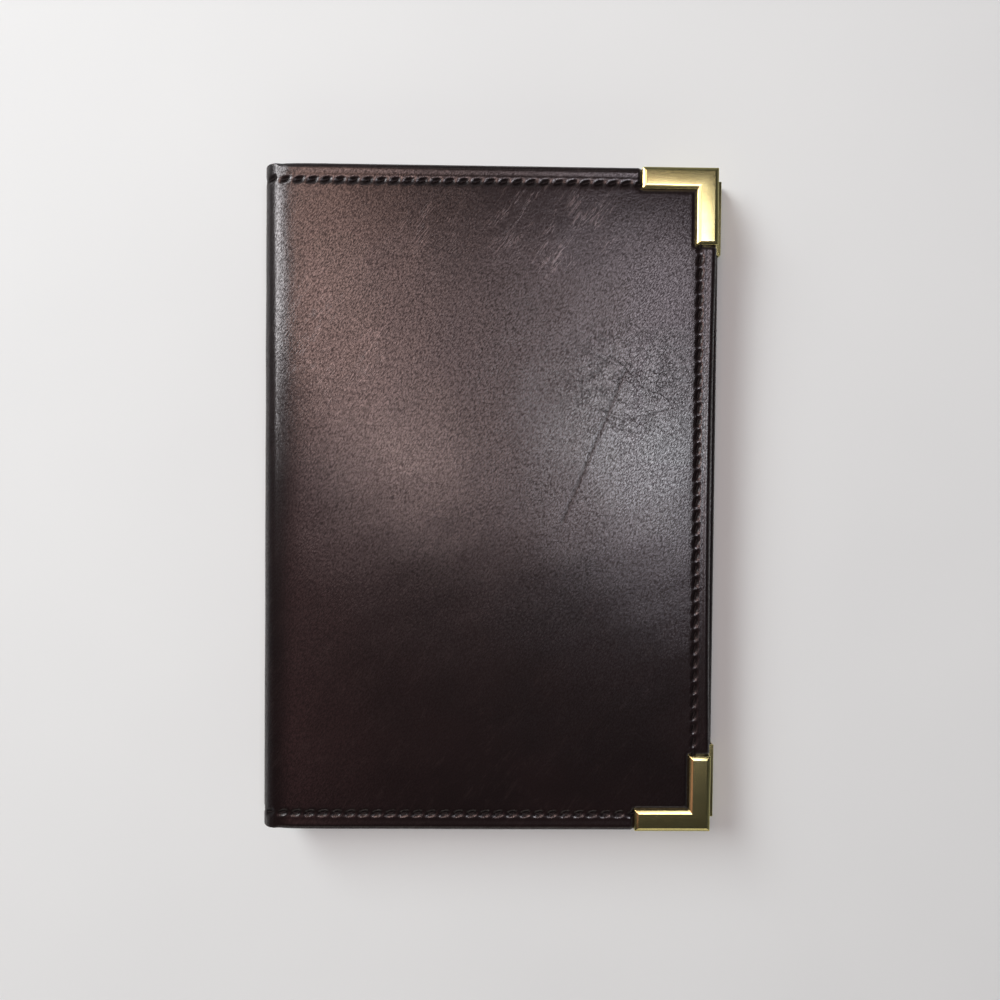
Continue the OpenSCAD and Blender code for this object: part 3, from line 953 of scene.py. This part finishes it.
border_thread = thread_finish("border_thread", thread_dark, thread_light)
for side in ("back", "front"):
    spots = seam_spots(side)
    places = [leather_stitch(side, *spot) for spot in spots]
    places += [lining_stitch(side, *spot) for spot in spots if spot[0] > panel_edge]
    seam = sew(f"{side}_border_stitches", one_stitch(stitch_len, thread_d), places)
    seam.data.materials.append(border_thread)
    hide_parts(f"{side}_stitches", "spine_stitches")
    bend_with_spine(seam, side)


# Brass corners
# Each corner is pressed from satin brass sheet as a bevelled L, folded over both edges of a cover
# and squeezed on to it. One is modelled, and the other three are mirrored copies.
corner_bevel = 1.3 * mm
corner_rise = 0.5 * mm
corner_soft = 0.2 * mm
corner_soft_cuts = 3
square_on = 0.9
stroke_draw = (0.35, 6, 6)
stroke_turn_deg = 12
stroke_high, pit_deep = 0.006, 0.01
brass_bright = (0.83, 0.757, 0.342, 1)
brass_deep = (0.7, 0.62, 0.26, 1)


def brass_finish():
    """Long brushed strokes, a little cloudiness and fine pits under a thin lacquer."""
    material, shade = new_material("satin_brass")
    where = in_mm(shade)
    strokes = shade.noise(shade.placed(where, stroke_draw, stroke_turn_deg), 1.0, 3.0, 0.6)
    cloud = shade.noise(where, 0.12, 2.0)
    pits = shade.noise(where, 3.5, 2.0).rise(0.68, 0.8)
    surface(
        shade,
        Base_Color=(cloud.rise(0.3, 0.7) * 0.7 + pits * 0.3).mix(brass_bright, brass_deep),
        Metallic=1.0,
        Roughness=0.15 + strokes * 0.1 + cloud * 0.04,
        Normal=bump(shade, strokes * stroke_high - pits * pit_deep),
    )
    return material


def normals_of(piece):
    flat = np.empty(3 * len(piece.data.polygons))
    piece.data.polygons.foreach_get("normal", flat)
    return flat.reshape(-1, 3).T


def block(low, high):
    """A box between two corners, with its place in its mesh."""
    bpy.ops.object.select_all(action="DESELECT")
    low, high = Vector(low), Vector(high)
    bpy.ops.mesh.primitive_cube_add(size=1, location=(low + high) / 2, scale=high - low)
    bpy.ops.object.transform_apply()
    return bpy.context.object


def draw_out(piece, chosen, move):
    """Extrudes the chosen faces."""
    edit_faces(piece, chosen)
    bpy.ops.mesh.extrude_region_move(TRANSFORM_OT_translate={"value": move})
    bpy.ops.object.mode_set(mode="OBJECT")


def pressed_corner():
    """The front top corner: an L drawn out of a block, bevelled, with room cut for the cover."""
    low, high = corner_low, corner_high
    inner_x, inner_y = high.x - corner_w, high.y - corner_w
    piece = block((inner_x, inner_y, low.z), (high.x, high.y, high.z - corner_rise))
    draw_out(piece, normals_of(piece)[0] < -square_on, (low.x - inner_x, 0, 0))
    x = faces_at(piece)[0]
    draw_out(piece, (normals_of(piece)[1] < -square_on) & (x > inner_x), (0, low.y - inner_y, 0))
    edit_faces(piece, normals_of(piece)[2] > square_on)
    bpy.ops.mesh.inset(thickness=corner_bevel, depth=corner_rise)
    bpy.ops.mesh.select_mode(type="EDGE")
    bpy.ops.mesh.select_all(action="DESELECT")
    bpy.ops.mesh.edges_select_sharp(sharpness=math.radians(15))
    bpy.ops.mesh.bevel(offset=corner_soft, segments=corner_soft_cuts)
    bpy.ops.object.mode_set(mode="OBJECT")
    room = block(
        (low.x - mm, low.y - mm, total_t - cover_t),
        (high.x - corner_t, high.y - corner_t, total_t - border_h),
    )
    bpy.context.view_layer.objects.active = piece
    bpy.ops.object.modifier_add(type="BOOLEAN")
    piece.modifiers["Boolean"].object = room
    bpy.ops.object.modifier_apply(modifier="Boolean")
    bpy.data.objects.remove(room)
    piece.select_set(True)
    bpy.ops.object.shade_smooth_by_angle(angle=math.radians(40))
    return piece


brass = brass_finish()
pressed = pressed_corner()
upside_down = Matrix.Diagonal((1, -1, 1, 1))
turned_over = Matrix.Translation((setback, 0, total_t)) @ Matrix.Diagonal((1, 1, -1, 1))
corner_moves = {
    "corner_front_top": Matrix.Identity(4),
    "corner_front_bottom": upside_down,
    "corner_back_top": turned_over,
    "corner_back_bottom": turned_over @ upside_down,
}
for node, move in corner_moves.items():
    corner = bpy.data.objects.new(f"brass_{node}", pressed.data.copy())
    corner.data.transform(move)
    if move.determinant() < 0:
        corner.data.flip_normals()
    corner.data.materials.append(brass)
    bpy.context.scene.collection.objects.link(corner)
    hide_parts(node)
    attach(corner, "front_cover" if "front" in node else "back_cover")
bpy.data.objects.remove(pressed)


# Pockets
# Four flat pockets of smooth leather, each turned under and sewn on three sides: a slip pocket for
# the pad's card on the back cover, and a document pocket with two card pockets on the front one.
hem_w = 2.5 * mm
pocket_wall = {"pad_slip_pocket": 0.6 * mm, "document_pocket": 0.5 * mm}
card_pocket_wall = 0.4 * mm
pocket_round = 0.8 * mm
seam_groove = (0.35 * mm, 0.12 * mm)
pocket_cuts = 24
pocket_sag = 0.08 * mm
sag_reach = 8 * mm
round_share = 0.55
round_cuts = 4
fold_sharp = math.radians(60)
smooth_under = math.radians(35)
pore_scale = 1.6
pore_high = 0.05
rub_draw = (0.2, 1.0, 1)
rub_turn_deg = 30
pocket_dark = (0.017, 0.0115, 0.0108, 1)
pocket_light = (0.03, 0.021, 0.0195, 1)


def pocket_finish():
    """Smooth satin leather with a fine pore and soft handling marks."""
    material, shade = new_material("pocket_leather")
    where = in_mm(shade)
    pore = shade.node("ShaderNodeTexVoronoi", (), {"Vector": where, "Scale": pore_scale})
    cloud = shade.noise(where, 0.06, 3.0)
    rub = shade.noise(shade.placed(where, rub_draw, rub_turn_deg), 0.5, 3.0).rise(0.5, 0.75)
    surface(
        shade,
        Base_Color=(cloud.rise(0.3, 0.7) * 0.6 + rub * 0.4).mix(pocket_dark, pocket_light),
        Roughness=0.4 + cloud * 0.12 - rub * 0.08,
        Normal=bump(shade, pore * pore_high),
    )
    return material


def sewn_pocket(node, body, wall):
    """A shallow open box: its foot and its mouth are open, and a groove runs round its face."""
    low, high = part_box(node)
    out = 1 if body == "back_cover" else -1
    rise = high.z - low.z
    piece = block(low, high)
    piece.name = f"{node}_panel"
    normal = normals_of(piece)
    edit_faces(piece, (normal[2] * out < -square_on) | (normal[1] > square_on))
    bpy.ops.mesh.delete(type="FACE")
    bpy.ops.object.mode_set(mode="OBJECT")
    edit_faces(piece, normals_of(piece)[2] * out > square_on)
    groove_w, groove_d = seam_groove
    for inset, deep in ((hem_w / 2 - groove_w, 0), (groove_w, -groove_d), (groove_w, groove_d)):
        bpy.ops.mesh.inset(thickness=inset, depth=deep)
    bpy.ops.mesh.subdivide(number_cuts=pocket_cuts)
    bpy.ops.mesh.select_mode(type="EDGE")
    bpy.ops.mesh.select_all(action="DESELECT")
    bpy.ops.mesh.edges_select_sharp(sharpness=fold_sharp)
    bpy.ops.mesh.bevel(offset=min(pocket_round, round_share * rise), segments=round_cuts)
    bpy.ops.object.mode_set(mode="OBJECT")
    x, y, z = points_of(piece).T
    middle = np.minimum(np.minimum(x - low.x, high.x - x), np.minimum(y - low.y, high.y - y))
    uneven = 0.5 + 0.5 * np.clip(slow_waves(x, y), -1, 1)
    sag = pocket_sag * uneven * ease((middle - hem_w) / sag_reach)
    set_points(piece, np.column_stack([x, y, z - out * sag]))
    bpy.ops.object.shade_smooth_by_angle(angle=smooth_under)
    thicken(piece, wall)
    return piece


pocket_leather = pocket_finish()
pockets = {
    "pad_slip_pocket": ("back_cover", pocket_wall["pad_slip_pocket"], "back_cover_lining"),
    "document_pocket": ("front_cover", pocket_wall["document_pocket"], "front_cover_lining"),
    "card_pocket_upper": ("front_cover", card_pocket_wall, "document_pocket"),
    "card_pocket_lower": ("front_cover", card_pocket_wall, "document_pocket"),
}
for node, (body, wall, carrier) in pockets.items():
    pocket = sewn_pocket(node, body, wall)
    pocket.data.materials.append(pocket_leather)
    low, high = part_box(node)
    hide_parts(node)
    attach(pocket, body)


# Pocket stitches
# Fine brown thread holds each pocket along its three sewn sides, and one more row runs along the
# turned edge of its mouth.
fine_len = 2.5 * mm
fine_d = 0.35 * mm
fine_sink = 0.06 * mm
fine_pitch = 3.4 * mm
fine_dark = (0.03, 0.019, 0.0175, 1)
fine_light = (0.075, 0.05, 0.046, 1)
mouth_in = 1.1 * mm


def thread_row(start, end, out):
    """Places of an even row of fine stitches."""
    way = Vector(end) - Vector(start)
    count = math.floor(way.length / fine_pitch)
    steps = [(i + 0.5) / count for i in range(count)]
    return [stitch_place(Vector(start) + way * step - out * fine_sink, way, out) for step in steps]


def pocket_rows(node, body):
    low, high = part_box(node)
    out = Vector((0, 0, 1 if body == "back_cover" else -1))
    z = high.z if body == "back_cover" else low.z
    left, right = low.x + hem_w / 2, high.x - hem_w / 2
    foot, mouth = low.y + hem_w / 2, high.y - mouth_in
    path = [(left, mouth, z), (left, foot, z), (right, foot, z), (right, mouth, z), (left, mouth, z)]
    return [place for start, end in zip(path, path[1:]) for place in thread_row(start, end, out)]


fine_thread = thread_finish("fine_thread", fine_dark, fine_light)
for replaced, body in (("slip_stitches", "back_cover"), ("pocket_stitches", "front_cover")):
    rows = [pocket_rows(node, body) for node in pockets if pockets[node][0] == body]
    seam = sew(f"{replaced}_rows", one_stitch(fine_len, fine_d), sum(rows, []))
    seam.data.materials.append(fine_thread)
    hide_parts(replaced)
    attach(seam, body)


# Pen loop
# A strip of the pocket leather stands in the gutter: it lies flat on the lining as a tab, runs round
# a pen's width, and comes back down on its own tab, where it is sewn.
loop_low, loop_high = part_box("pen_loop")
loop_wall = 0.7 * mm
loop_r = (loop_high.z - loop_low.z) / 2
loop_turn = math.radians(325)
loop_cell = 0.8 * mm
loop_x = loop_low.x + loop_r
tab_w = loop_high.x - loop_x
tab_seam_in = 1.1 * mm
piece = flat_grid(
    "pen_loop_strip",
    (0, loop_low.y),
    (tab_w + loop_r * loop_turn, loop_high.y),
    loop_cell,
)
s, y, _ = points_of(piece).T
turn = np.clip(s - tab_w, 0, None) / loop_r
rounds = loop_r * (1 - np.cos(turn))
set_points(piece, np.column_stack([
    loop_high.x - np.minimum(s, tab_w) - loop_r * np.sin(turn), y, loop_low.z + rounds
]))
piece.data.flip_normals()
bpy.ops.object.shade_smooth()
thicken(piece, loop_wall)
piece.data.materials.append(pocket_leather)
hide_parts("pen_loop")
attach(piece, "back_cover")
tab_seam_x = loop_high.x - tab_seam_in
tab_z = loop_low.z + loop_wall
tab_ends = [(tab_seam_x, y, tab_z) for y in (loop_low.y, loop_high.y)]
tab_row = thread_row(*tab_ends, Vector((0, 0, 1)))
seam = sew("pen_loop_stitches", one_stitch(fine_len, fine_d), tab_row)
seam.data.materials.append(fine_thread)
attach(seam, "back_cover")


# Writing pad
# A block of ruled cream sheets is glued at its head to a brown chipboard back, and cloth tape is
# wrapped over the head. The board slips behind the pocket, so the sheets lie in front of it.
sheets_low, sheets_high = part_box("pad_sheets")
pocket_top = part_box("pad_slip_pocket")[1].z
tape_low, tape_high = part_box("pad_tape")
sheet_count = 46
sheet_t = 0.09 * mm
sheet_cell = 16 * mm
sheet_clear = 0.15 * mm
head_len = 16 * mm
head_slope = 40 * mm
sheet_shift = 0.22 * mm
rule_step_mm = 7.1
rule_w_mm = 0.28
rule_first_mm = 72.0
margin_mm = 24
card_brown = (0.45, 0.35, 0.23, 1)
card_fleck = (0.27, 0.2, 0.12, 1)
paper_cream = (0.87, 0.84, 0.74, 1)
paper_warm = (0.83, 0.79, 0.68, 1)
rule_blue = (0.4, 0.5, 0.62, 1)
margin_red = (0.66, 0.3, 0.28, 1)
tape_dark = (0.028, 0.017, 0.016, 1)
tape_light = (0.07, 0.046, 0.042, 1)
ink_share = 0.7
weave_rate = 9.0
weave_high = 0.05
slub_draw = (0.2, 2.0, 2.0)


def paper_finish():
    """Cream stock with blue rules and one red margin line."""
    material, shade = new_material("ruled_paper")
    where = in_mm(shade)
    x = axis_of(shade, where, "X")
    y = axis_of(shade, where, "Y")
    fibre = shade.noise(where, 1.2, 3.0, 0.6)
    on_rule = shade.maths("FRACT", y / rule_step_mm) * rule_step_mm
    ruled = shade.maths("LESS_THAN", y, rule_first_mm)
    rule = shade.maths("LESS_THAN", on_rule, rule_w_mm) * ruled
    from_margin = x - (sheets_low.x / mm + margin_mm)
    margin = shade.maths("LESS_THAN", shade.maths("ABSOLUTE", from_margin), rule_w_mm / 2)
    colour = fibre.rise(0.3, 0.7).mix(paper_cream, paper_warm)
    colour = (rule * ink_share).mix(colour, rule_blue)
    colour = (margin * ink_share).mix(colour, margin_red)
    surface(shade, Base_Color=colour, Roughness=0.75 + fibre * 0.15, Normal=bump(shade, fibre * 0.01))
    return material


def tape_finish():
    """Plain weave cloth with a slight wax sheen."""
    material, shade = new_material("binding_cloth")
    where = in_mm(shade)
    x, y, z = [axis_of(shade, where, axis) for axis in "XYZ"]
    warp = shade.maths("SINE", x * weave_rate)
    weft = shade.maths("SINE", (y + z) * weave_rate)
    weave = warp * weft * 0.5 + 0.5
    slub = shade.noise(shade.placed(where, slub_draw), 1.0)
    surface(
        shade,
        Base_Color=(weave * 0.6 + slub * 0.4).mix(tape_dark, tape_light),
        Roughness=0.6 + slub * 0.2,
        Normal=bump(shade, weave * weave_high),
    )
    return material


def pad_sheet(level):
    """One sheet of the block, a little out of line at its foot and held at its head."""
    sheet = bpy.data.objects.new("pad_sheet", single_sheet.data.copy())
    x, y, z = points_of(sheet).T
    from_head = sheets_high.y - y
    loose = ease(from_head / (sheets_high.y - sheets_low.y))
    step_up = pocket_top + sheet_clear - sheets_low.z
    floor_z = sheets_low.z + step_up * ease((from_head - head_len) / head_slope)
    pitch = (sheets_high.z - floor_z) / sheet_count
    shift = sheet_draw.uniform(-sheet_shift, 0, 2)
    x = x * (1 + shift[0] * loose / sheets_high.x)
    y = y - shift[1] * loose
    set_points(sheet, np.column_stack([x, y, floor_z + (level + 1) * pitch + z]))
    bpy.context.scene.collection.objects.link(sheet)
    return sheet


single_sheet = flat_grid("pad_sheet", sheets_low, sheets_high, sheet_cell)
thicken(single_sheet, sheet_t)
sheet_draw = np.random.default_rng(11)
block_sheets = [pad_sheet(level) for level in range(sheet_count)]
bpy.data.objects.remove(single_sheet)
bpy.ops.object.select_all(action="DESELECT")
for sheet in block_sheets:
    sheet.select_set(True)
bpy.context.view_layer.objects.active = block_sheets[0]
bpy.ops.object.join()
paper_block = bpy.context.object
paper_block.name = "pad_sheet_block"
paper_block.data.materials.append(paper_finish())
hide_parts("pad_sheets")
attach(paper_block, "pad")

dress("pad_card", fibrous("chipboard", card_brown, card_fleck, 1.1, 0.9))

tape_t = tape_high.y - sheets_high.y
tape_bend = 0.45 * mm
head_tape = block(tape_low, tape_high)
head_tape.name = "pad_head_tape"
normal = normals_of(head_tape)
edit_faces(head_tape, (normal[1] < -square_on) | (np.abs(normal[0]) > square_on))
bpy.ops.mesh.delete(type="FACE")
bpy.ops.mesh.select_mode(type="EDGE")
bpy.ops.mesh.select_all(action="DESELECT")
bpy.ops.mesh.edges_select_sharp(sharpness=fold_sharp)
bpy.ops.mesh.bevel(offset=tape_bend, segments=round_cuts)
bpy.ops.object.mode_set(mode="OBJECT")
bpy.ops.object.shade_smooth_by_angle(angle=smooth_under)
thicken(head_tape, tape_t)
head_tape.data.materials.append(tape_finish())
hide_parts("pad_tape")
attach(head_tape, "pad")
